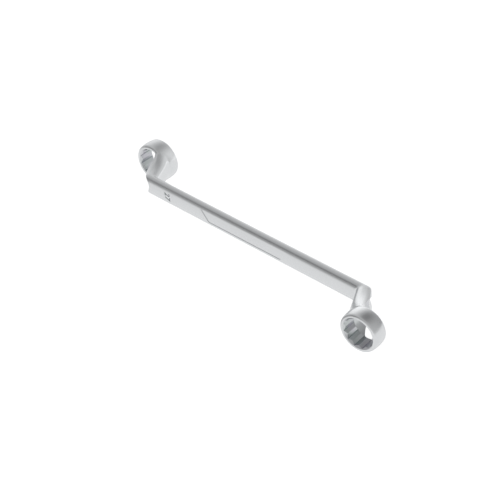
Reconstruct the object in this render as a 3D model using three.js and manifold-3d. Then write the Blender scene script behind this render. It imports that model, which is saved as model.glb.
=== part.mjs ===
// A deep-offset double-ended ring spanner with twelve-point rings, forged in one piece.
// Lengths are in millimetres and +Z is up. The spanner lies on its side, on the outer walls of its rings.
// X runs along the shank from the large ring to the small one, and both ring axes lie close to Y.
// The small ring is offset towards -Y and the large one towards +Y, so the two ends are half a turn apart.
import * as THREE from 'three';
import { mergeVertices } from 'three/addons/utils/BufferGeometryUtils.js';
import Module from 'manifold-3d';

// Whole spanner
const overallLength = 344;
const faceOffset = 39.5; // from the middle plane of the shank to the working face of each ring
const ringLeanAngle = 3.95; // degrees that each ring axis leans back towards the shank

// Rings
const smallAcrossFlats = 24;
const smallOuterDiameter = 35.5;
const smallHeight = 14.2;
const largeAcrossFlats = 27;
const largeOuterDiameter = 40;
const largeHeight = 16.2;
const wallBulge = 0.9; // how far the middle of the outer wall stands out past its two ends
const ringCorner = 1.7; // rounding between the outer wall and both faces of a ring

// Bores
const boreTips = 12;
const boreClearance = 0.15; // added to the nominal size across flats
const mouthMargin = 0.4; // how far the lead-in cone opens past the tips at the working face
const backMargin = 0.3; // the same for the small bevel at the side of the shank
const boreRelief = 0.8; // how far the tips run on past the back of the ring
const boreRunOut = 24; // how far a smooth round bore runs on through the neck, as wide as the bevel
const boreTurnAngle = 15; // degrees that a tip stands away from the line of the shank
const cutOverrun = 3; // how far every cutter reaches past what it cuts

// Shank
const shankWidth = 20.3;
const shankThickness = 7.8;
const shankFlat = 9.4; // width of the flat between the rounded edges of each wide side
const panelLength = 105;
const panelHeight = 10.8;
const panelDepth = 0.35;
const panelSlant = 9; // how much further each end reaches at the upper edge than at the lower
const panelShift = 3.5; // how far the panel lies towards the large ring
const panelCorner = 2;

// Necks
const neckAngle = 61.5; // degrees between the shank and the inner side of a neck
const kneeTurn = 46; // degrees that the outer side turns at the bend before it curves on down the neck
const kneeReach = 13.4; // how far the outer side of the bend lies past the inner corner, along the shank
const kneeDrop = 11; // how far the outer side keeps that direction
const bendInnerRadius = 2.5;
const bendOuterRadius = 6;
const bendLead = 8; // length of shank over which the section starts to turn
const neckDrop = 2; // how far below the back of the ring the neck's inner line meets the ring's wall
const neckSink = 5; // how far the neck's last section lies inside the ring
const neckInset = 0.2; // how far that section stays within the ring's wall
const neckReach = 2; // how far past the ring's axis the outer side of that section lies
const smallWrapAngle = 86; // degrees round the small ring from the shank's side to that section's corners
const largeWrapAngle = 74; // the same for the large ring
const neckFullness = 4; // how square the outer side of a neck is in section, where 2 is an oval
const innerFlarePower = 2.6; // how late the neck's inner side widens to the ring
const outerFlarePower = 2.5; // the same for its outer side
const saddleAngle = 48; // degrees from the shank at which the hollow in the outer side runs out over it
const saddleStart = 5; // how far under the shank's middle plane the hollow leaves the bore
const saddleEnd = 4; // how far the hollow runs on towards the ring inside the bore

// Fineness
const ringSegments = 72;
const cornerSteps = 4;
const wallSteps = 3;
const arcSteps = 5;
const flatSteps = 4;
const bendSteps = 5;
const neckSteps = 10;

const wasm = await Module();
wasm.setup();

const radians = THREE.MathUtils.degToRad;

function toSolid(geometry) {
  const bare = geometry.clone();
  bare.deleteAttribute('normal');
  bare.deleteAttribute('uv');
  const merged = mergeVertices(bare);
  const vertProperties = new Float32Array(merged.attributes.position.array);
  const triVerts = new Uint32Array(merged.index.array);
  return new wasm.Manifold(new wasm.Mesh({ numProp: 3, vertProperties, triVerts }));
}

function toGeometry(solid) {
  const mesh = solid.getMesh();
  const geometry = new THREE.BufferGeometry();
  geometry.setAttribute('position', new THREE.BufferAttribute(new Float32Array(mesh.vertProperties), 3));
  geometry.setIndex(new THREE.BufferAttribute(new Uint32Array(mesh.triVerts), 1));
  geometry.computeVertexNormals();
  return geometry;
}

// The radius of a ring's outer wall at a depth below its working face. The wall bulges like a barrel.
function wallRadius({ radius, height }, depth) {
  const share = (2 * depth) / height - 1;
  return radius - wallBulge * share * share;
}

// The outer wall of a ring in section, from its working face to its back, which mirror each other.
function ringProfile(ring) {
  const lower = [];
  for (let i = 0; i <= cornerSteps; i += 1) {
    const turn = (Math.PI / 2) * (i / cornerSteps);
    const depth = ringCorner * (1 - Math.cos(turn));
    lower.push(new THREE.Vector2(wallRadius(ring, depth) - ringCorner * (1 - Math.sin(turn)), depth));
  }
  for (let i = 1; i <= wallSteps; i += 1) {
    const depth = THREE.MathUtils.lerp(ringCorner, ring.height / 2, i / wallSteps);
    lower.push(new THREE.Vector2(wallRadius(ring, depth), depth));
  }
  const upper = lower.slice(0, -1).reverse();
  return [...lower, ...upper.map((point) => new THREE.Vector2(point.x, ring.height - point.y))];
}

// Everything about one end that follows from its sizes. Its shank leads towards +X and its ring lies at -Y.
function describeHead(acrossFlats, outerDiameter, height, wrapAngle) {
  const lean = radians(ringLeanAngle);
  const radius = outerDiameter / 2;
  const axis = new THREE.Vector2(-Math.sin(lean), Math.cos(lean));
  const outward = new THREE.Vector2(Math.cos(lean), Math.sin(lean));
  const profile = ringProfile({ radius, height });
  const reach = Math.max(...profile.map((point) => point.x * outward.x + point.y * axis.x));
  const face = new THREE.Vector2(overallLength / 2 - reach, -faceOffset);
  const back = face.clone().addScaledVector(axis, height);
  const flatRadius = (acrossFlats + boreClearance) / 2;
  const tipRadius = flatRadius / Math.cos(Math.PI / 6);
  const rim = tipRadius + backMargin;
  const wrap = radians(wrapAngle);
  return { radius, height, lean, axis, outward, profile, face, back, flatRadius, tipRadius, rim, wrap };
}

// A ring before its bore is cut: a solid disc.
function ringBlank(head) {
  const outline = [new THREE.Vector2(0, 0), ...head.profile, new THREE.Vector2(0, head.height)];
  return placeOnRing(new THREE.LatheGeometry(outline, ringSegments), head);
}

// Turns a shape made round +Y from the origin into the place of a ring, its base on the working face.
function placeOnRing(geometry, head) {
  return geometry.rotateZ(head.lean).translate(head.face.x, head.face.y, 0);
}

// The outline of a bore: outward tips with inward notches between them, as two crossed hexagons give.
function boreOutline({ flatRadius, tipRadius }) {
  const notchRadius = flatRadius / Math.cos(Math.PI / boreTips);
  const points = [];
  for (let i = 0; i < 2 * boreTips; i += 1) {
    const turn = radians(boreTurnAngle) + (i * Math.PI) / boreTips;
    const reach = i % 2 === 0 ? tipRadius : notchRadius;
    points.push(new THREE.Vector2(reach * Math.cos(turn), reach * Math.sin(turn)));
  }
  return new THREE.Shape(points);
}

function boreCutter(head) {
  const { flatRadius, tipRadius, rim, height } = head;
  const depth = cutOverrun + height + boreRelief;
  const flutes = new THREE.ExtrudeGeometry(boreOutline(head), { depth, bevelEnabled: false });
  flutes.rotateX(-Math.PI / 2).translate(0, -cutOverrun, 0);

  const mouth = tipRadius + mouthMargin;
  const leadIn = [
    new THREE.Vector2(0, -cutOverrun),
    new THREE.Vector2(mouth + cutOverrun, -cutOverrun),
    new THREE.Vector2(flatRadius, mouth - flatRadius),
    new THREE.Vector2(0, mouth - flatRadius),
  ];
  const bevel = [
    new THREE.Vector2(0, height - (rim - flatRadius)),
    new THREE.Vector2(flatRadius, height - (rim - flatRadius)),
    new THREE.Vector2(rim, height),
    new THREE.Vector2(rim, height + boreRunOut),
    new THREE.Vector2(0, height + boreRunOut),
  ];
  let cutter = toSolid(placeOnRing(flutes, head));
  for (const profile of [leadIn, bevel]) {
    cutter = cutter.add(toSolid(placeOnRing(new THREE.LatheGeometry(profile, ringSegments), head)));
  }
  return cutter;
}

// The hollow in the outer side of a bend: as round as the bore, it leads from the bore out over the shank.
function saddleCutter({ axis, outward, face, rim }) {
  const angle = radians(saddleAngle);
  const length = 2 * shankWidth;
  const depth = (faceOffset - saddleStart) / axis.y;
  const wall = face.clone().addScaledVector(axis, depth).addScaledVector(outward, -rim);
  const along = new THREE.Vector2(Math.cos(angle), -Math.sin(angle));
  const across = new THREE.Vector2(Math.sin(angle), Math.cos(angle));
  const middle = wall.addScaledVector(across, rim).addScaledVector(along, saddleEnd - length / 2);
  const cylinder = new THREE.CylinderGeometry(rim, rim, length, ringSegments);
  return toSolid(cylinder.rotateZ(Math.PI / 2 - angle).translate(middle.x, middle.y, 0));
}

// The sections of one end, from the straight shank round the bend and down the neck into the ring. Each has a
// point on the inner side of the bend, one on the outer side, and the share of the way down the neck.
function headSections(head) {
  const half = shankThickness / 2;
  const wallAt = (depth) => wallRadius(head, head.height - depth) - neckInset;
  const inRing = (depth, reach) =>
    head.back.clone().addScaledVector(head.axis, -depth).addScaledVector(head.outward, -reach);
  const foot = inRing(neckDrop, wallAt(neckDrop));
  const cornerX = foot.x + (foot.y + half) / Math.tan(radians(neckAngle));
  const innerX = cornerX - bendInnerRadius * Math.tan(radians(neckAngle) / 2);
  const outerX = cornerX + kneeReach - bendOuterRadius;

  const leadX = innerX - bendLead;
  const leadInner = new THREE.Vector2(leadX, -half);
  const leadOuter = new THREE.Vector2(leadX, half);
  const sections = [{ inner: leadInner, outer: leadOuter, roundness: 0, share: 0 }];
  const bend = (x, y, radius, angle) =>
    new THREE.Vector2(x + radius * Math.sin(angle), y - radius * (1 - Math.cos(angle)));
  for (let i = 0; i <= bendSteps; i += 1) {
    const share = i / bendSteps;
    const inner = bend(innerX, -half, bendInnerRadius, radians(neckAngle) * share);
    const outer = bend(outerX, half, bendOuterRadius, radians(kneeTurn) * share);
    sections.push({ inner, outer, roundness: share, share: 0 });
  }

  const { inner: innerStart, outer: outerStart } = sections[sections.length - 1];
  const wall = wallAt(neckSink);
  const innerEnd = inRing(neckSink, wall);
  const outerEnd = inRing(neckSink, -neckReach);
  const knee = new THREE.Vector2(Math.cos(radians(kneeTurn)), -Math.sin(radians(kneeTurn)));
  const kneePoint = outerStart.clone().addScaledVector(knee, kneeDrop);
  const innerLine = new THREE.QuadraticBezierCurve(innerStart, foot, innerEnd);
  const outerLine = new THREE.QuadraticBezierCurve(outerStart, kneePoint, outerEnd);
  for (let i = 1; i <= neckSteps; i += 1) {
    const share = i / neckSteps;
    const inner = innerLine.getPoint(share);
    const outer = outerLine.getPoint(share);
    sections.push({ inner, outer, roundness: 1, share });
  }
  return { sections, wall, wrap: head.wrap, half: innerEnd.distanceTo(outerEnd) / 2 };
}

// One side of the plain bar from top to bottom: flat between fully rounded edges.
// Each point has its place across the section, 1 on the side itself and 0 in the middle, and its height.
function plainSide() {
  const flat = shankFlat / 2;
  const points = [];
  for (let i = 0; i <= arcSteps; i += 1) {
    const angle = (Math.PI / 2) * (i / arcSteps);
    points.push({ across: Math.sin(angle), height: flat + (shankWidth / 2 - flat) * Math.cos(angle) });
  }
  for (let i = 1; i < flatSteps; i += 1) {
    points.push({ across: 1, height: flat * (1 - (2 * i) / flatSteps) });
  }
  for (let i = arcSteps; i >= 0; i -= 1) {
    points.push({ across: points[i].across, height: -points[i].height });
  }
  return points;
}

// How far across a neck's last section the ring's wall lies at an angle from the shank's side.
const acrossRing = (ringEnd, angle) => 1 - (ringEnd.wall / ringEnd.half) * (1 - Math.cos(angle));

// The inner side of a section, which turns from the plain bar's side into an arc of the ring's wall.
function innerSide(section, ringEnd) {
  const plain = plainSide();
  const flare = section.share ** innerFlarePower;
  return plain.map((point, i) => {
    const angle = ringEnd.wrap * (1 - (2 * i) / (plain.length - 1));
    return {
      across: THREE.MathUtils.lerp(point.across, acrossRing(ringEnd, angle), flare),
      height: THREE.MathUtils.lerp(point.height, ringEnd.wall * Math.sin(angle), flare),
    };
  });
}

// The outer side, which turns from the plain bar's side into half a squared oval and then into a blunt nose.
function outerSide(section, ringEnd) {
  const plain = plainSide();
  const flare = section.share ** outerFlarePower;
  const cornerAcross = -acrossRing(ringEnd, ringEnd.wrap);
  const cornerHeight = ringEnd.wall * Math.sin(ringEnd.wrap);
  const squared = (value) => Math.sign(value) * Math.abs(value) ** (2 / neckFullness);
  return plain.map((point, i) => {
    const angle = (Math.PI * i) / (plain.length - 1);
    const fullHeight = (shankWidth / 2) * squared(Math.cos(angle));
    const across = THREE.MathUtils.lerp(point.across, squared(Math.sin(angle)), section.roundness);
    const height = THREE.MathUtils.lerp(point.height, fullHeight, section.roundness);
    const share = 1 - (2 * i) / (plain.length - 1);
    return {
      across: -THREE.MathUtils.lerp(across, THREE.MathUtils.lerp(1, cornerAcross, share * share), flare),
      height: THREE.MathUtils.lerp(height, cornerHeight * share, flare),
    };
  });
}

// The closed ring of points of a section, from its top. Both ends run the same way round when one is turned.
function sectionLoop(section, ringEnd, isTurned) {
  const inner = innerSide(section, ringEnd).slice(1, -1);
  const [top, ...rest] = [...outerSide(section, ringEnd), ...inner.reverse()];
  const loop = [top, ...(isTurned ? rest : rest.reverse())];
  const middle = section.inner.clone().lerp(section.outer, 1 / 2);
  const reach = section.inner.clone().sub(middle);
  const sign = isTurned ? -1 : 1;
  return loop.map(({ across, height }) => {
    const place = middle.clone().addScaledVector(reach, across).multiplyScalar(sign);
    return new THREE.Vector3(place.x, place.y, height);
  });
}

// Joins a row of loops into one closed skin with a fan of triangles over each end.
function loft(loops) {
  const count = loops[0].length;
  const points = loops.flat();
  const indices = [];
  for (let i = 0; i < loops.length - 1; i += 1) {
    for (let j = 0; j < count; j += 1) {
      const a = i * count + j;
      const b = i * count + ((j + 1) % count);
      indices.push(a, b, a + count, b, b + count, a + count);
    }
  }
  const addEnd = (loop, start, isLast) => {
    const centre = loop.reduce((sum, point) => sum.add(point), new THREE.Vector3()).divideScalar(count);
    const tip = points.push(centre) - 1;
    for (let j = 0; j < count; j += 1) {
      const here = start + j;
      const next = start + ((j + 1) % count);
      indices.push(tip, isLast ? here : next, isLast ? next : here);
    }
  };
  addEnd(loops[0], 0, false);
  addEnd(loops[loops.length - 1], (loops.length - 1) * count, true);
  const geometry = new THREE.BufferGeometry().setFromPoints(points);
  geometry.setIndex(indices);
  return geometry;
}

function barBetween(smallHead, largeHead) {
  const smallEnd = headSections(smallHead);
  const largeEnd = headSections(largeHead);
  const largeLoops = largeEnd.sections.map((section) => sectionLoop(section, largeEnd, true)).reverse();
  const smallLoops = smallEnd.sections.map((section) => sectionLoop(section, smallEnd, false));
  return loft([...largeLoops, ...smallLoops]);
}

// The shallow panel in the middle of each wide side of the shank, left bare.
// It lengthens towards its upper edge.
function panelCutter() {
  const low = -panelHeight / 2;
  const high = panelHeight / 2;
  const longHalf = panelLength / 2;
  const shortHalf = longHalf - panelSlant;
  const slope = new THREE.Vector2(panelSlant, panelHeight).setLength(panelCorner);
  const outline = new THREE.Shape();
  outline.moveTo(-shortHalf + panelCorner, low);
  outline.lineTo(shortHalf - panelCorner, low);
  outline.quadraticCurveTo(shortHalf, low, shortHalf + slope.x, low + slope.y);
  outline.lineTo(longHalf - slope.x, high - slope.y);
  outline.quadraticCurveTo(longHalf, high, longHalf - panelCorner, high);
  outline.lineTo(-longHalf + panelCorner, high);
  outline.quadraticCurveTo(-longHalf, high, -longHalf + slope.x, high - slope.y);
  outline.lineTo(-shortHalf - slope.x, low + slope.y);
  outline.quadraticCurveTo(-shortHalf, low, -shortHalf + panelCorner, low);
  const settings = { depth: panelDepth + cutOverrun, bevelEnabled: false, curveSegments: cornerSteps };
  const geometry = new THREE.ExtrudeGeometry(outline, settings);
  return geometry.rotateX(Math.PI / 2).translate(-panelShift, panelDepth - shankThickness / 2, 0);
}

// The large end is modelled as the small one is and then turned half round the vertical.
const turned = (solid) => toSolid(toGeometry(solid).rotateZ(Math.PI));

function spanner() {
  const smallHead = describeHead(smallAcrossFlats, smallOuterDiameter, smallHeight, smallWrapAngle);
  const largeHead = describeHead(largeAcrossFlats, largeOuterDiameter, largeHeight, largeWrapAngle);
  const frontPanel = toSolid(panelCutter());
  const body = toSolid(barBetween(smallHead, largeHead))
    .add(toSolid(ringBlank(smallHead)))
    .add(turned(toSolid(ringBlank(largeHead))))
    .subtract(boreCutter(smallHead))
    .subtract(turned(boreCutter(largeHead)))
    .subtract(saddleCutter(smallHead))
    .subtract(turned(saddleCutter(largeHead)))
    .subtract(frontPanel)
    .subtract(turned(frontPanel));
  const midX = ({ face, axis, height }) => face.x + (axis.x * height) / 2;
  const span = midX(smallHead) + midX(largeHead);
  return { body, settle: Math.asin((largeHead.radius - smallHead.radius) / span) };
}

const { body, settle } = spanner();
const satinChrome = new THREE.MeshStandardMaterial({ color: 0xcfd1d3, roughness: 0.34, metalness: 1 });
const forging = new THREE.Mesh(toGeometry(body), satinChrome);
forging.name = 'spanner_forging';
forging.rotation.y = settle; // the larger ring lifts its end of the shank

const ringSpanner = new THREE.Group();
ringSpanner.add(forging);

// The origin is on the floor, under the middle of the spanner.
const bounds = new THREE.Box3().setFromObject(ringSpanner, true);
const middle = bounds.getCenter(new THREE.Vector3());
forging.position.set(-middle.x, -middle.y, -bounds.min.z);

export default ringSpanner;
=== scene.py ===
import math

import bmesh
import bpy
from mathutils import Matrix, Vector


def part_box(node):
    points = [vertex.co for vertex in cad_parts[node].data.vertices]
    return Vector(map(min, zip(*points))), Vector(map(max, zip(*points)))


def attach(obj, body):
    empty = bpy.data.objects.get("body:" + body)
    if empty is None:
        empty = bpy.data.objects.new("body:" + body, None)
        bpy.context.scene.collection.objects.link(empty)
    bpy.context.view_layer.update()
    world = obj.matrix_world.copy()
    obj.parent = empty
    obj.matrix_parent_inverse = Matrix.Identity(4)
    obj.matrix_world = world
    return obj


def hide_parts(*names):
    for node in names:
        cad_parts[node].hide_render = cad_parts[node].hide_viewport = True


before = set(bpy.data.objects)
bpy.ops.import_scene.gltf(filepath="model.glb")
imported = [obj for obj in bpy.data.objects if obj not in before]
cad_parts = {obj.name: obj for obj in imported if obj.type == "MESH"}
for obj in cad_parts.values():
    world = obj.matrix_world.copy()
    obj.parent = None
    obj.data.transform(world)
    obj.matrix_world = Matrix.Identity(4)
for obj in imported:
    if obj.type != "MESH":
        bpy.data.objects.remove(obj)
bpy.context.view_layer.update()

# The spanner is drawn in millimetres round the middle of its shank, with X along the shank and Z up.
# The small ring lies towards -Y and the large one towards +Y. It is settled on the floor at the end.
MILLIMETRE = 0.001

# Whole spanner
OVERALL_LENGTH = 344
FACE_OFFSET = 39.5  # from the middle plane of the shank to the working face of each ring
RING_LEAN = math.radians(3.95)

# Rings: across flats, outer diameter, height, and how many degrees of the wall the neck wraps to each side
RING_SIZES = {"small": (24, 35.5, 14.2, 86), "large": (27, 40, 16.2, 74)}
WALL_BULGE = 0.9
RING_CORNER = 1.7

# Bores
BORE_TIPS = 12
BORE_CLEARANCE = 0.15
BORE_TURN = math.radians(15)
BORE_RELIEF = 0.8
BORE_RUN_OUT = 24  # how far the smooth round bore runs on through the neck
MOUTH_MARGIN = 0.4
BACK_MARGIN = 0.3
FLUTE_ROUNDING = 0.35
OVERRUN = 3

# Shank
SHANK_WIDTH = 20.3
SHANK_THICKNESS = 7.8
SHANK_HALF_FLAT = 4.7  # half the flat between the rounded edges of each wide side
PANEL_LENGTH = 105
PANEL_HEIGHT = 10.8
PANEL_DEPTH = 0.35
PANEL_SLANT = 9
PANEL_SHIFT = 3.5
PANEL_CORNER = 1.6
PANEL_DRAFT = (0.998, 1, 0.98)  # how much smaller the bottom of the panel is than its mouth
STAMP_PLACE = 100.5
STAMP_HEIGHT = -0.7
STAMP_SIZE = 9.4
STAMP_DEPTH = 0.4
STAMP_WEIGHT = 0.12  # how much fatter the strokes are than those of the plain letters
STAMP_SPACING = 1.1
STAMP_NARROWING = 0.82

# Necks
NECK_ANGLE = math.radians(61.5)
KNEE_TURN = math.radians(46)
KNEE_REACH = 13.4
KNEE_DROP = 11
SADDLE_ANGLE = math.radians(48)
SADDLE_START = 5
SADDLE_END = 4
BEND_INNER_RADIUS = 2.5
BEND_OUTER_RADIUS = 6
BEND_LEAD = 8
NECK_DROP = 2
NECK_SINK = 5
NECK_INSET = 0.2
NECK_REACH = 2
NECK_FULLNESS = 4
INNER_FLARE = 2.6
OUTER_FLARE = 2.5

# Fineness
RING_VERTICES = 240
PROFILE_STEPS = 24
WALL_CUTS = 11
ROUND_STEPS = 6
FLUTE_STEPS = 3
ARC_STEPS = 14
FLAT_STEPS = 20
BEND_STEPS = 14
NECK_STEPS = 44
LETTER_STEPS = 4
VOXEL = 0.56
SMOOTH_SHARE = 0.5
SMOOTH_ROUNDS = 6
SHARP_ANGLE = math.radians(32)

# Measures by which edges and faces are told apart
SAME_PLACE = 0.01
WELD_DISTANCE = 0.001
LONG_EDGE = 1
HEAD_ON = 0.9  # least share of a normal that points along an axis, for a face that looks that way
HALF_ON = 0.5
FACE_MARGIN = 1
WALL_MARGIN = 0.1
CORNER_MARGIN = 0.4
SKIN_MARGIN = 0.02

# Satin chrome
CHROME_COLOUR = (0.747, 0.76, 0.773, 1)
# Painted shade colours for the bores, panel walls and stamped sizes, mixed at random from greenish to violet
SHADE_GREENISH = (0.28, 0.34, 0.325, 1)
SHADE_VIOLET = (0.335, 0.32, 0.39, 1)
TINT_RANGE = (0.4, 0.6)
CHROME_ROUGHNESS = 0.21
CLOUD_ROUGHNESS = 0.05
GRAIN_ROUGHNESS = 0.04
PAINTED_SHADE_ROUGHNESS = 0.2
GRAIN_NOISE = (2600, 3, 0.6)  # scale, detail and roughness of the noise
CLOUD_NOISE = (55, 4, 0.55)
TINT_NOISE = (90, 1, 0.5)
BUMP_STRENGTH = 0.12
BUMP_DISTANCE = 0.00005

# How strongly painted shade darkens the bores, their flute corners, the panel walls and the stamped sizes,
# from 0 to 1
FLUTE_PAINTED_SHADE = 0.42
SMOOTH_PAINTED_SHADE = 0.25
CORNER_PAINTED_SHADE = 1
RIM_PAINTED_SHADE = 0.25
PANEL_PAINTED_SHADE = 0.7
STAMP_PAINTED_SHADE = 0.6

# The room: how bright it is, how much that changes up to its top, and its soft patches.
# Each patch has its azimuth and elevation, how tight it is, and how much brighter or darker than the rest.
WHITE = (1, 1, 1, 1)
ROOM_LIGHT = 0.6
ROOM_RISE = -0.1
ROOM_PATCHES = (
    (-121, -6, 8.5, -0.5),
    (71, -5, 7.6, -0.25),
    (99, 53, 6, -0.4),
    (148, 16, 12, 0.28),
    (172, 62, 22, 0.18),
)

# The paper on the floor and the softbox, in metres
PAPER_SIZE = 24
PAPER_COLOUR = (0.9, 0.9, 0.9, 1)
PAPER_ROUGHNESS = 0.5
PAPER_GLOW = 0.7
PAPER_NEAR = 0.93
PAPER_FAR = 0.42
PAPER_END_Y = (-0.062, -0.02)
PAPER_END_X = (0.09, 0.13)
BOX_PLACE = (-0.044, 0.2, 0.082)
BOX_SPREAD = 0.247
BOX_SPAN = 5  # how many times its spread the softbox is wide
BOX_LIGHT = 0.45

# The camera, in metres, with its lens and sensor in millimetres
CAMERA_PLACE = (0.603584, -0.550537, 0.600588)
CAMERA_RIGHT = (0.711527, 0.698574, -0.075655)
CAMERA_UP = (-0.371333, 0.465240, 0.803531)
CAMERA_LENS = 84.28
CAMERA_SENSOR = 36
CAMERA_NEAREST = 0.01


# Modelling helpers

def deselect_all():
    bpy.ops.object.select_all(action="DESELECT")


def make_active(obj):
    deselect_all()
    obj.select_set(True)
    bpy.context.view_layer.objects.active = obj


def named(name):
    """Names the object that was just added."""
    obj = bpy.context.active_object
    obj.name = name
    obj.data.name = name
    return obj


def edit(obj):
    make_active(obj)
    bpy.ops.object.mode_set(mode="EDIT")
    return bmesh.from_edit_mesh(obj.data)


def leave_edit():
    bpy.ops.object.mode_set(mode="OBJECT")


def select_where(obj, mode, test):
    """Selects the vertices, edges or faces of the mesh in edit mode that pass the test."""
    bpy.ops.mesh.select_all(action="DESELECT")
    bpy.ops.mesh.select_mode(type=mode)
    mesh = bmesh.from_edit_mesh(obj.data)
    items = {"VERT": mesh.verts, "EDGE": mesh.edges, "FACE": mesh.faces}[mode]
    for item in items:
        item.select_set(test(item))
    mesh.select_flush_mode()
    bmesh.update_edit_mesh(obj.data)


def leads_along(edge, axis):
    """Whether an edge runs the length of a shape along an axis."""
    first, second = edge.verts
    return abs(first.co[axis] - second.co[axis]) > LONG_EDGE


def apply_modifier(obj, kind, **settings):
    make_active(obj)
    modifier = obj.modifiers.new(kind.title(), kind)
    for key, value in settings.items():
        setattr(modifier, key, value)
    bpy.ops.object.modifier_apply(modifier=modifier.name)


def cut(obj, cutter):
    apply_modifier(obj, "BOOLEAN", operation="DIFFERENCE", solver="EXACT", object=cutter)
    bpy.data.objects.remove(cutter)


def unite(obj, other):
    apply_modifier(obj, "BOOLEAN", operation="UNION", solver="EXACT", object=other)
    bpy.data.objects.remove(other)


def apply_place(obj):
    make_active(obj)
    bpy.ops.object.transform_apply(location=True, rotation=True, scale=True)


# The shape of one end, in the plane of X and Y. Its shank leads towards +X and its ring lies at -Y.

class Head:
    def __init__(self, size):
        self.flats, diameter, self.height, wrap = RING_SIZES[size]
        self.wrap = math.radians(wrap)
        self.radius = diameter / 2
        self.axis = Vector((-math.sin(RING_LEAN), math.cos(RING_LEAN)))
        self.outward = Vector((math.cos(RING_LEAN), math.sin(RING_LEAN)))
        reach = max(r * self.outward.x + d * self.axis.x for r, d in self.profile())
        self.face = Vector((OVERALL_LENGTH / 2 - reach, -FACE_OFFSET))
        self.back = self.face + self.axis * self.height
        self.flat_radius = (self.flats + BORE_CLEARANCE) / 2
        self.tip_radius = self.flat_radius / math.cos(math.pi / 6)
        self.notch_radius = self.flat_radius / math.cos(math.pi / BORE_TIPS)

    def wall_radius(self, depth):
        """The radius of the barrelled wall at a depth below the working face."""
        share = 2 * depth / self.height - 1
        return self.radius - WALL_BULGE * share * share

    def profile(self):
        """Half of the ring's wall in section, from its working face: distance from the axis and depth."""
        points = []
        for i in range(PROFILE_STEPS + 1):
            turn = math.pi / 2 * i / PROFILE_STEPS
            depth = RING_CORNER * (1 - math.cos(turn))
            points.append((self.wall_radius(depth) - RING_CORNER * (1 - math.sin(turn)), depth))
        points.append((self.radius, self.height / 2))
        return points

    def in_ring(self, depth, reach):
        """A point so far below the back of the ring and so far from its axis towards the shank."""
        return self.back - self.axis * depth - self.outward * reach


def stand_on_ring(obj, head):
    """Turns a shape made upwards from the origin into the place of a ring, its base on the working face."""
    obj.matrix_world = (
        Matrix.Translation((head.face.x, head.face.y, 0))
        @ Matrix.Rotation(RING_LEAN, 4, "Z")
        @ Matrix.Rotation(-math.pi / 2, 4, "X")
    )
    apply_place(obj)
    return obj


def half_turn(obj):
    obj.matrix_world = Matrix.Rotation(math.pi, 4, "Z")
    apply_place(obj)
    return obj


def ring_blank(head):
    """A disc with a barrelled wall and rounded rims."""
    deselect_all()
    bpy.ops.mesh.primitive_cylinder_add(
        vertices=RING_VERTICES, radius=head.wall_radius(0), depth=head.height,
        location=(0, 0, head.height / 2),
    )
    obj = named("ring_blank")
    apply_place(obj)
    edit(obj)
    select_where(obj, "EDGE", lambda e: leads_along(e, 2))
    bpy.ops.mesh.subdivide(number_cuts=WALL_CUTS)
    levels = sorted({round(v.co.z, 3) for v in bmesh.from_edit_mesh(obj.data).verts})
    for level in levels[1:-1]:
        select_where(obj, "VERT", lambda v: abs(v.co.z - level) < SAME_PLACE)
        grow = head.wall_radius(level) / head.wall_radius(0)
        bpy.ops.transform.resize(value=(grow, grow, 1), center_override=(0, 0, level))

    def is_rim(edge):
        heights = {round(v.co.z, 3) for v in edge.verts}
        return len(heights) == 1 and heights <= {levels[0], levels[-1]}

    select_where(obj, "EDGE", is_rim)
    bpy.ops.mesh.bevel(offset=RING_CORNER, segments=ROUND_STEPS, affect="EDGES", clamp_overlap=True)
    leave_edit()
    return stand_on_ring(obj, head)


# The bar: the shank, both bends and both necks, extruded section by section

def head_sections(head):
    """The sections of one end, from the straight shank into the ring.

    Each has its inner point, its outer point, how round it is and how far along the neck it lies.
    """
    half = SHANK_THICKNESS / 2
    foot = head.in_ring(NECK_DROP, head.wall_radius(head.height - NECK_DROP) - NECK_INSET)
    corner_x = foot.x + (foot.y + half) / math.tan(NECK_ANGLE)
    inner_x = corner_x - BEND_INNER_RADIUS * math.tan(NECK_ANGLE / 2)
    outer_x = corner_x + KNEE_REACH - BEND_OUTER_RADIUS
    lead_x = inner_x - BEND_LEAD
    sections = [(Vector((lead_x, -half)), Vector((lead_x, half)), 0, 0)]

    def bend(x, y, radius, angle):
        return Vector((x + radius * math.sin(angle), y - radius * (1 - math.cos(angle))))

    for i in range(BEND_STEPS + 1):
        share = i / BEND_STEPS
        inner = bend(inner_x, -half, BEND_INNER_RADIUS, NECK_ANGLE * share)
        outer = bend(outer_x, half, BEND_OUTER_RADIUS, KNEE_TURN * share)
        sections.append((inner, outer, share, 0))
    inner_start, outer_start = sections[-1][:2]
    head.wall = head.wall_radius(head.height - NECK_SINK) - NECK_INSET
    inner_end = head.in_ring(NECK_SINK, head.wall)
    outer_end = head.in_ring(NECK_SINK, -NECK_REACH)
    head.end_half = (inner_end - outer_end).length / 2
    knee_point = outer_start + Vector((math.cos(KNEE_TURN), -math.sin(KNEE_TURN))) * KNEE_DROP

    def curve(points, t):
        while len(points) > 1:
            points = [a.lerp(b, t) for a, b in zip(points, points[1:])]
        return points[0]

    for i in range(1, NECK_STEPS + 1):
        t = i / NECK_STEPS
        inner = curve([inner_start, foot, inner_end], t)
        outer = curve([outer_start, knee_point, outer_end], t)
        sections.append((inner, outer, 1, t))
    return sections


def plain_side(half):
    """One side of the plain bar from top to bottom: place across the section and height."""
    flat = SHANK_HALF_FLAT
    points = []
    for i in range(ARC_STEPS + 1):
        angle = math.pi / 2 * i / ARC_STEPS
        points.append((math.sin(angle), flat + (SHANK_WIDTH / 2 - flat) * math.cos(angle)))
    for i in range(1, FLAT_STEPS):
        points.append((1, flat * (1 - 2 * i / FLAT_STEPS)))
    return points + [(across, -height) for across, height in reversed(points[: ARC_STEPS + 1])]


def blend(a, b, share):
    return a + (b - a) * share


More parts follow.
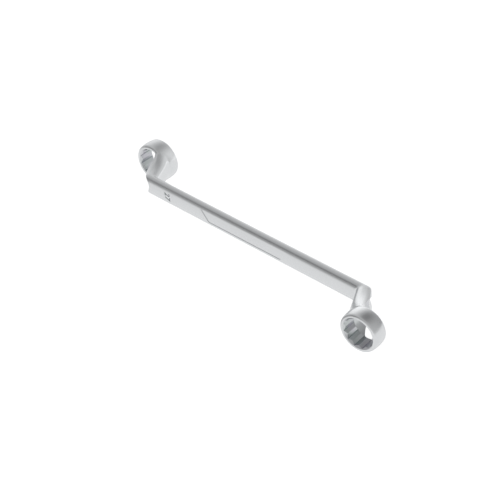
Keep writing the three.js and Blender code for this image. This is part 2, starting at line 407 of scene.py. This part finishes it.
def section_loop(section, head, turned):
    """The points round one section, for the small end or, turned by half a turn, for the large one."""
    inner, outer, roundness, share = section
    plain = plain_side((inner - outer).length / 2)
    last = len(plain) - 1

    def across_ring(angle):
        """Where the ring's wall lies across the last section, at an angle round the ring."""
        return 1 - head.wall / head.end_half * (1 - math.cos(angle))

    loop = []
    corner_across = -across_ring(head.wrap)
    corner_height = head.wall * math.sin(head.wrap)
    flare = share**OUTER_FLARE
    for i, (across, height) in enumerate(plain):
        angle = math.pi * i / last
        full = 2 / NECK_FULLNESS
        across = blend(across, math.sin(angle) ** full, roundness)
        rise = math.copysign(abs(math.cos(angle)) ** full, math.cos(angle))
        height = blend(height, SHANK_WIDTH / 2 * rise, roundness)
        side = 1 - 2 * i / last
        loop.append((-blend(across, blend(1, corner_across, side * side), flare),
                     blend(height, corner_height * side, flare)))
    flare = share**INNER_FLARE
    inner_side = []
    for i, (across, height) in enumerate(plain):
        angle = head.wrap * (1 - 2 * i / last)
        inner_side.append((blend(across, across_ring(angle), flare),
                           blend(height, head.wall * math.sin(angle), flare)))
    loop += reversed(inner_side[1:-1])
    if not turned:
        loop = loop[:1] + loop[:0:-1]
    middle = (inner + outer) / 2
    sign = -1 if turned else 1
    return [Vector((*((middle + (inner - middle) * across) * sign), height)) for across, height in loop]


def place_selected(obj, points):
    """Moves the selected loop, in the order in which it was extruded, to the points."""
    mesh = bmesh.from_edit_mesh(obj.data)
    for vertex, point in zip([v for v in mesh.verts if v.select], points):
        vertex.co = point
    bmesh.update_edit_mesh(obj.data)


def make_bar(small, large):
    """The shank with both necks, from inside the large ring to inside the small one."""
    loops = [section_loop(s, large, True) for s in reversed(head_sections(large))]
    loops += [section_loop(s, small, False) for s in head_sections(small)]
    deselect_all()
    bpy.ops.mesh.primitive_circle_add(vertices=len(loops[0]), radius=SHANK_THICKNESS / 2, fill_type="NOTHING")
    obj = named("bar")
    edit(obj)
    bpy.ops.mesh.select_all(action="SELECT")
    place_selected(obj, loops[0])
    bpy.ops.mesh.edge_face_add()
    for loop in loops[1:]:
        bpy.ops.mesh.extrude_region_move()
        place_selected(obj, loop)
    bpy.ops.mesh.select_all(action="SELECT")
    bpy.ops.mesh.normals_make_consistent(inside=False)
    leave_edit()
    return obj


def bore_cutter(head):
    """The twelve-point bore with its lead-in cone, the small bevel at the back and the smooth run-out."""
    deselect_all()
    depth = OVERRUN + head.height + BORE_RELIEF
    bpy.ops.mesh.primitive_cylinder_add(
        vertices=2 * BORE_TIPS, radius=head.notch_radius, depth=depth,
        location=(0, 0, depth / 2 - OVERRUN), rotation=(0, 0, BORE_TURN + math.pi / BORE_TIPS),
    )
    flutes = named("bore_cutter")
    apply_place(flutes)
    edit(flutes)
    grow = head.tip_radius / head.notch_radius

    def is_tip(v):
        turn = (math.atan2(v.co.y, v.co.x) - BORE_TURN) / (math.pi / BORE_TIPS)
        return round(turn) % 2 == 0

    select_where(flutes, "VERT", is_tip)
    bpy.ops.transform.resize(value=(grow, grow, 1), center_override=(0, 0, 0))
    select_where(flutes, "EDGE", lambda e: leads_along(e, 2))
    bpy.ops.mesh.bevel(offset=FLUTE_ROUNDING, segments=FLUTE_STEPS, affect="EDGES")
    leave_edit()

    mouth = head.tip_radius + MOUTH_MARGIN
    cone_height = mouth - head.flat_radius
    deselect_all()
    bpy.ops.mesh.primitive_cone_add(
        vertices=RING_VERTICES, radius1=mouth + OVERRUN, radius2=head.flat_radius,
        depth=cone_height + OVERRUN, location=(0, 0, (cone_height - OVERRUN) / 2),
    )
    lead_in = named("lead_in")
    apply_place(lead_in)
    unite(flutes, lead_in)

    rim = head.tip_radius + BACK_MARGIN
    deselect_all()
    bpy.ops.mesh.primitive_cylinder_add(
        vertices=RING_VERTICES, radius=rim, depth=BORE_RUN_OUT,
        location=(0, 0, head.height + BORE_RUN_OUT / 2),
    )
    bevel = named("back_bevel")
    apply_place(bevel)
    edit(bevel)
    select_where(bevel, "FACE", lambda f: f.normal.z < -HEAD_ON)
    bpy.ops.mesh.extrude_region_move(TRANSFORM_OT_translate={"value": (0, 0, head.flat_radius - rim)})
    shrink = head.flat_radius / rim
    bpy.ops.transform.resize(value=(shrink, shrink, 1))
    leave_edit()
    unite(flutes, bevel)
    return stand_on_ring(flutes, head)


def saddle_cutter(head):
    """The hollow in the back of the knee, as wide as the bore, that leads out over the shank."""
    rim = head.tip_radius + BACK_MARGIN
    depth = (FACE_OFFSET - SADDLE_START) / head.axis.y
    wall = head.face + head.axis * depth - head.outward * rim
    along = Vector((math.cos(SADDLE_ANGLE), -math.sin(SADDLE_ANGLE)))
    length = 2 * SHANK_WIDTH
    middle = wall + Vector((-along.y, along.x)) * rim + along * (SADDLE_END - length / 2)
    deselect_all()
    bpy.ops.mesh.primitive_cylinder_add(vertices=RING_VERTICES, radius=rim, depth=length)
    obj = named("saddle_cutter")
    obj.matrix_world = (
        Matrix.Translation((middle.x, middle.y, 0))
        @ Matrix.Rotation(-SADDLE_ANGLE, 4, "Z")
        @ Matrix.Rotation(math.pi / 2, 4, "Y")
    )
    apply_place(obj)
    return obj


def panel_cutter():
    """The shallow bare panel on a wide side of the shank, longer at its upper edge."""
    deselect_all()
    bpy.ops.mesh.primitive_cube_add(size=1, location=(0, -SHANK_THICKNESS / 2 - OVERRUN / 2 + PANEL_DEPTH, 0))
    obj = named("panel_cutter")
    obj.scale = (PANEL_LENGTH - 2 * PANEL_SLANT, OVERRUN, PANEL_HEIGHT)
    apply_place(obj)
    edit(obj)
    for side in (-1, 1):
        select_where(obj, "VERT", lambda v: v.co.z > 0 and v.co.x * side > 0)
        bpy.ops.transform.translate(value=(side * PANEL_SLANT, 0, 0))
    select_where(obj, "EDGE", lambda e: leads_along(e, 1))
    bpy.ops.mesh.bevel(offset=PANEL_CORNER, segments=ROUND_STEPS, affect="EDGES")
    select_where(obj, "FACE", lambda f: f.normal.y > HEAD_ON)
    bpy.ops.transform.resize(value=PANEL_DRAFT)
    bpy.ops.mesh.select_all(action="SELECT")
    bpy.ops.transform.translate(value=(-PANEL_SHIFT, 0, 0))
    leave_edit()
    return obj


def numeral_cutter(text):
    """A stamped size, to be pressed into the front side of the shank, across its length."""
    deselect_all()
    bpy.ops.object.text_add(location=(0, 0, 0))
    obj = bpy.context.active_object
    obj.data.body = text
    obj.data.align_x = "CENTER"
    obj.data.align_y = "CENTER"
    obj.data.size = STAMP_SIZE
    obj.data.extrude = STAMP_DEPTH
    obj.data.offset = STAMP_WEIGHT
    obj.data.space_character = STAMP_SPACING
    obj.data.resolution_u = LETTER_STEPS
    bpy.ops.object.convert(target="MESH")
    obj = named("numeral_" + text)
    obj.matrix_world = (
        Matrix.Translation((-STAMP_PLACE, -SHANK_THICKNESS / 2, STAMP_HEIGHT))
        @ Matrix.Rotation(math.pi / 2, 4, "X")
        @ Matrix.Rotation(-math.pi / 2, 4, "Z")
        @ Matrix.Diagonal((STAMP_NARROWING, 1, 1, 1))
    )
    apply_place(obj)
    edit(obj)
    bpy.ops.mesh.select_all(action="SELECT")
    bpy.ops.mesh.remove_doubles(threshold=WELD_DISTANCE)
    bpy.ops.mesh.normals_make_consistent(inside=False)
    leave_edit()
    return obj


def make_forging():
    """The whole spanner in millimetres: bar and rings are joined and smoothed, then everything is cut in."""
    small, large = Head("small"), Head("large")
    body = make_bar(small, large)
    unite(body, ring_blank(small))
    unite(body, half_turn(ring_blank(large)))
    apply_modifier(body, "REMESH", mode="VOXEL", voxel_size=VOXEL)
    apply_modifier(body, "SMOOTH", factor=SMOOTH_SHARE, iterations=SMOOTH_ROUNDS)
    cut(body, bore_cutter(small))
    cut(body, half_turn(bore_cutter(large)))
    cut(body, saddle_cutter(small))
    cut(body, half_turn(saddle_cutter(large)))
    cut(body, panel_cutter())
    cut(body, half_turn(panel_cutter()))
    cut(body, numeral_cutter("27"))
    cut(body, half_turn(numeral_cutter("24")))
    # Painted shade is marked on the bores, flute corners, panel walls and stamped sizes
    mark_painted_shade_faces(body)
    return body


def bore_painted_shade(place, normal, heads):
    """How much painted shade a face of a bore gets. Faces that belong to no bore get none."""
    value = 0.0
    for head, centre, axis in heads:
        offset = place - centre
        depth = offset.dot(axis)
        radius = (offset - axis * depth).length
        if radius > head.tip_radius + BACK_MARGIN + WALL_MARGIN or depth < -FACE_MARGIN:
            continue
        if abs(normal.dot(axis)) > HALF_ON:
            value = RIM_PAINTED_SHADE
        elif abs(radius - head.tip_radius) < CORNER_MARGIN and depth < head.height + BORE_RELIEF:
            value = CORNER_PAINTED_SHADE
        elif radius > head.tip_radius:
            value = SMOOTH_PAINTED_SHADE
        else:
            value = FLUTE_PAINTED_SHADE
    return value


def mark_painted_shade_faces(obj):
    """Writes how much painted shade each face gets: bores, the corners of their flutes, panel walls and
    stamped sizes.
    """
    heads = []
    for size, turn in (("small", 0), ("large", math.pi)):
        head = Head(size)
        spin = Matrix.Rotation(turn, 3, "Z")
        heads.append((head, spin @ head.face.to_3d(), spin @ head.axis.to_3d()))
    side = SHANK_THICKNESS / 2
    values = []
    for polygon in obj.data.polygons:
        place, normal = polygon.center, polygon.normal
        value = bore_painted_shade(place, normal, heads)
        along, height = abs(place.x), abs(place.z)
        if side - STAMP_DEPTH - SKIN_MARGIN < abs(place.y) < side - SKIN_MARGIN:
            on_stamp = abs(along - STAMP_PLACE) < STAMP_SIZE and height < SHANK_HALF_FLAT
            on_panel = along < PANEL_LENGTH and height < PANEL_HEIGHT / 2 + WALL_MARGIN
            # Stamped sizes and the upper and lower walls of the panel get painted shade
            if on_stamp and place.x * place.y > 0:
                value = STAMP_PAINTED_SHADE
            elif on_panel and abs(normal.z) > HEAD_ON:
                value = PANEL_PAINTED_SHADE
        values.append(value)
    obj.data.attributes.new("painted_shade", "FLOAT", "FACE").data.foreach_set("value", values)


def settle(obj):
    """Lays the spanner on the walls of its rings and turns millimetres into metres."""
    small, large = Head("small"), Head("large")
    span = sum(h.face.x + h.axis.x * h.height / 2 for h in (small, large))
    lift = math.asin((large.radius - small.radius) / span)
    obj.matrix_world = Matrix.Scale(MILLIMETRE, 4) @ Matrix.Rotation(lift, 4, "Y")
    apply_place(obj)
    low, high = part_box("spanner_forging")
    corners = [Vector(v.co) for v in obj.data.vertices]
    mine_low = Vector([min(c[i] for c in corners) for i in range(3)])
    mine_high = Vector([max(c[i] for c in corners) for i in range(3)])
    fits = min(1, *((high[i] - low[i]) / (mine_high[i] - mine_low[i]) for i in range(3)))
    middle = Matrix.Translation((low + high) / 2)
    obj.matrix_world = middle @ Matrix.Scale(fits, 4) @ Matrix.Translation(-(mine_low + mine_high) / 2)
    apply_place(obj)


# Shader maths

class Socket:
    """Wraps a shader socket, so that maths on values reads as plain expressions."""

    def __init__(self, shader, socket):
        self.shader = shader
        self.socket = socket

    def maths(self, operation, *values):
        return self.shader.node("ShaderNodeMath", {"operation": operation}, dict(enumerate(values)))

    def __add__(self, other):
        return self.maths("ADD", self, other)

    __radd__ = __add__

    def __sub__(self, other):
        return self.maths("SUBTRACT", self, other)

    def __rsub__(self, other):
        return self.maths("SUBTRACT", other, self)

    def __mul__(self, other):
        return self.maths("MULTIPLY", self, other)

    __rmul__ = __mul__

    def __truediv__(self, other):
        return self.maths("DIVIDE", self, other)

    def exponent(self):
        """The constant e to the power of the value."""
        return self.maths("EXPONENT", self)

    def clamped(self):
        return self.shader.node("ShaderNodeClamp", {}, {"Value": self})


class Shader:
    """A material's or the world's node tree."""

    def __init__(self, owner):
        owner.use_nodes = True
        self.tree = owner.node_tree
        self.tree.nodes.clear()

    def node(self, kind, settings, sockets, output=0):
        """Adds a node with its settings and inputs, and gives back one of its outputs."""
        node = self.tree.nodes.new(kind)
        for key, value in settings.items():
            setattr(node, key, value)
        for key, value in sockets.items():
            target = node.inputs[key]
            if isinstance(value, Socket):
                self.tree.links.new(value.socket, target)
            else:
                target.default_value = value
        if not node.outputs:
            return node
        return Socket(self, node.outputs[output])

    def mixed_colour(self, share, first, second):
        """The first colour where the share is 0, the second where it is 1."""
        return self.node("ShaderNodeMix", {"data_type": "RGBA"}, {"Factor": share, 6: first, 7: second}, 2)


def satin_chrome():
    """Satin chrome: finely blasted and a little cloudy, with painted shade, rougher and faintly tinted
    greenish to violet, darkening its bores, panel walls and stamped sizes.
    """
    material = bpy.data.materials.new("satin_chrome")
    s = Shader(material)
    place = s.node("ShaderNodeTexCoord", {}, {}, "Object")

    def noise(scale, detail, roughness):
        sockets = {"Vector": place, "Scale": scale, "Detail": detail, "Roughness": roughness}
        return s.node("ShaderNodeTexNoise", {}, sockets, "Fac")

    grain = noise(*GRAIN_NOISE)
    cloud = noise(*CLOUD_NOISE)
    tint_from, tint_to = TINT_RANGE
    tint = s.node("ShaderNodeMapRange", {}, {
        "Value": noise(*TINT_NOISE), "From Min": tint_from, "From Max": tint_to,
    })
    # The painted shade mask turns the chrome colour towards a dark greenish-violet painted shade and makes it
    # rougher
    painted_shade = s.node("ShaderNodeAttribute", {"attribute_name": "painted_shade"}, {}, "Fac")
    shade_colour = s.mixed_colour(tint, SHADE_GREENISH, SHADE_VIOLET)
    colour = s.mixed_colour(painted_shade, CHROME_COLOUR, shade_colour)
    rough = (CHROME_ROUGHNESS + CLOUD_ROUGHNESS * cloud + GRAIN_ROUGHNESS * grain
             + PAINTED_SHADE_ROUGHNESS * painted_shade)
    bump = s.node("ShaderNodeBump", {}, {
        "Height": grain, "Strength": BUMP_STRENGTH, "Distance": BUMP_DISTANCE,
    })
    shader = s.node("ShaderNodeBsdfPrincipled", {}, {
        "Base Color": colour, "Metallic": 1.0, "Roughness": rough, "Normal": bump,
    })
    s.node("ShaderNodeOutputMaterial", {}, {"Surface": shader})
    return material


def fade(shader, value, start, end):
    """Runs smoothly from 0 at the start to 1 at the end."""
    return shader.node("ShaderNodeMapRange", {"interpolation_type": "SMOOTHSTEP"}, {
        "Value": value, "From Min": start, "From Max": end,
    })


def grey(value):
    return (value, value, value, 1)


def white_floor():
    """White paper. The metal mirrors it bright near the spanner and darker out in front, where it ends."""
    material = bpy.data.materials.new("white_floor")
    s = Shader(material)
    paper = s.node("ShaderNodeBsdfDiffuse", {}, {
        "Color": PAPER_COLOUR, "Roughness": PAPER_ROUGHNESS,
    })
    glow = s.node("ShaderNodeEmission", {}, {"Color": WHITE, "Strength": PAPER_GLOW})
    lit = s.node("ShaderNodeAddShader", {}, {0: paper, 1: glow})
    place = s.node("ShaderNodeTexCoord", {}, {}, "Object")
    along = s.node("ShaderNodeSeparateXYZ", {}, {"Vector": place}, "X")
    across = s.node("ShaderNodeSeparateXYZ", {}, {"Vector": place}, "Y")
    close = fade(s, across, *PAPER_END_Y)
    close = close.maths("MAXIMUM", close, fade(s, along, *PAPER_END_X))
    shade = s.mixed_colour(close, grey(PAPER_FAR), grey(PAPER_NEAR))
    image = s.node("ShaderNodeEmission", {}, {"Color": shade, "Strength": 1.0})
    seen = s.node("ShaderNodeLightPath", {}, {}, "Is Camera Ray")
    mirrored = s.node("ShaderNodeLightPath", {}, {}, "Is Glossy Ray")
    shown = s.node("ShaderNodeMixShader", {}, {0: seen, 1: paper, 2: lit})
    shown = s.node("ShaderNodeMixShader", {}, {0: mirrored, 1: shown, 2: image})
    s.node("ShaderNodeOutputMaterial", {}, {"Surface": shown})
    deselect_all()
    bpy.ops.mesh.primitive_plane_add(size=PAPER_SIZE, location=(0, 0, 0))
    floor = named("floor")
    floor.data.materials.append(material)


def softbox():
    """A soft light behind the spanner: brightest in its middle, and out of the camera's sight."""
    material = bpy.data.materials.new("softbox")
    s = Shader(material)
    place = s.node("ShaderNodeTexCoord", {}, {}, "Object")
    reach = s.node("ShaderNodeVectorMath", {"operation": "LENGTH"}, {0: place}, "Value")
    share = (reach * reach * (-1 / (BOX_SPREAD * BOX_SPREAD))).exponent()
    clear = s.node("ShaderNodeBsdfTransparent", {}, {"Color": WHITE})
    glow = s.node("ShaderNodeEmission", {}, {"Color": share, "Strength": BOX_LIGHT})
    shown = s.node("ShaderNodeAddShader", {}, {0: clear, 1: glow})
    s.node("ShaderNodeOutputMaterial", {}, {"Surface": shown})
    deselect_all()
    bpy.ops.mesh.primitive_plane_add(size=BOX_SPAN * BOX_SPREAD, location=(0, 0, 0))
    box = named("softbox")
    box.data.materials.append(material)
    centre = Vector(BOX_PLACE)
    box.rotation_euler = centre.to_track_quat("Z", "Y").to_euler()
    box.location = centre
    box.visible_camera = False
    box.visible_shadow = False
    box.visible_diffuse = False


def towards(azimuth, elevation):
    """The unit vector at an azimuth and an elevation in degrees."""
    azimuth, elevation = math.radians(azimuth), math.radians(elevation)
    flat = math.cos(elevation)
    return (flat * math.cos(azimuth), flat * math.sin(azimuth), math.sin(elevation))


def studio_world():
    """A soft room with a few darker and brighter patches, for the metal to mirror."""
    world = bpy.data.worlds.new("studio")
    bpy.context.scene.world = world
    s = Shader(world)
    view = s.node("ShaderNodeTexCoord", {}, {}, "Generated")
    height = s.node("ShaderNodeSeparateXYZ", {}, {"Vector": view}, "Z")
    light = height.clamped() * ROOM_RISE + ROOM_LIGHT
    for azimuth, elevation, tightness, strength in ROOM_PATCHES:
        along = s.node("ShaderNodeVectorMath", {"operation": "DOT_PRODUCT"},
                       {0: view, 1: towards(azimuth, elevation)}, "Value")
        light = ((along - 1) * tightness).exponent() * strength + light
    sky = s.node("ShaderNodeBackground", {}, {"Color": WHITE, "Strength": light})
    s.node("ShaderNodeOutputWorld", {}, {"Surface": sky})


def set_camera():
    """The camera at the photograph's angle, found from the outline of the spanner."""
    data = bpy.data.cameras.new("camera")
    data.sensor_width = CAMERA_SENSOR
    data.lens = CAMERA_LENS
    data.clip_start = CAMERA_NEAREST
    camera = bpy.data.objects.new("camera", data)
    bpy.context.scene.collection.objects.link(camera)
    right, up = Vector(CAMERA_RIGHT), Vector(CAMERA_UP)
    turn = Matrix((right, up, right.cross(up))).transposed().to_4x4()
    camera.matrix_world = Matrix.Translation(CAMERA_PLACE) @ turn
    bpy.context.scene.camera = camera


def main():
    forging = make_forging()
    forging.name = "forging"
    settle(forging)
    make_active(forging)
    bpy.ops.object.shade_smooth_by_angle(angle=SHARP_ANGLE)
    forging.data.materials.clear()
    forging.data.materials.append(satin_chrome())
    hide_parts("spanner_forging")
    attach(forging, "root")
    white_floor()
    softbox()
    studio_world()
    set_camera()
    bpy.context.scene.view_settings.view_transform = "Standard"


main()
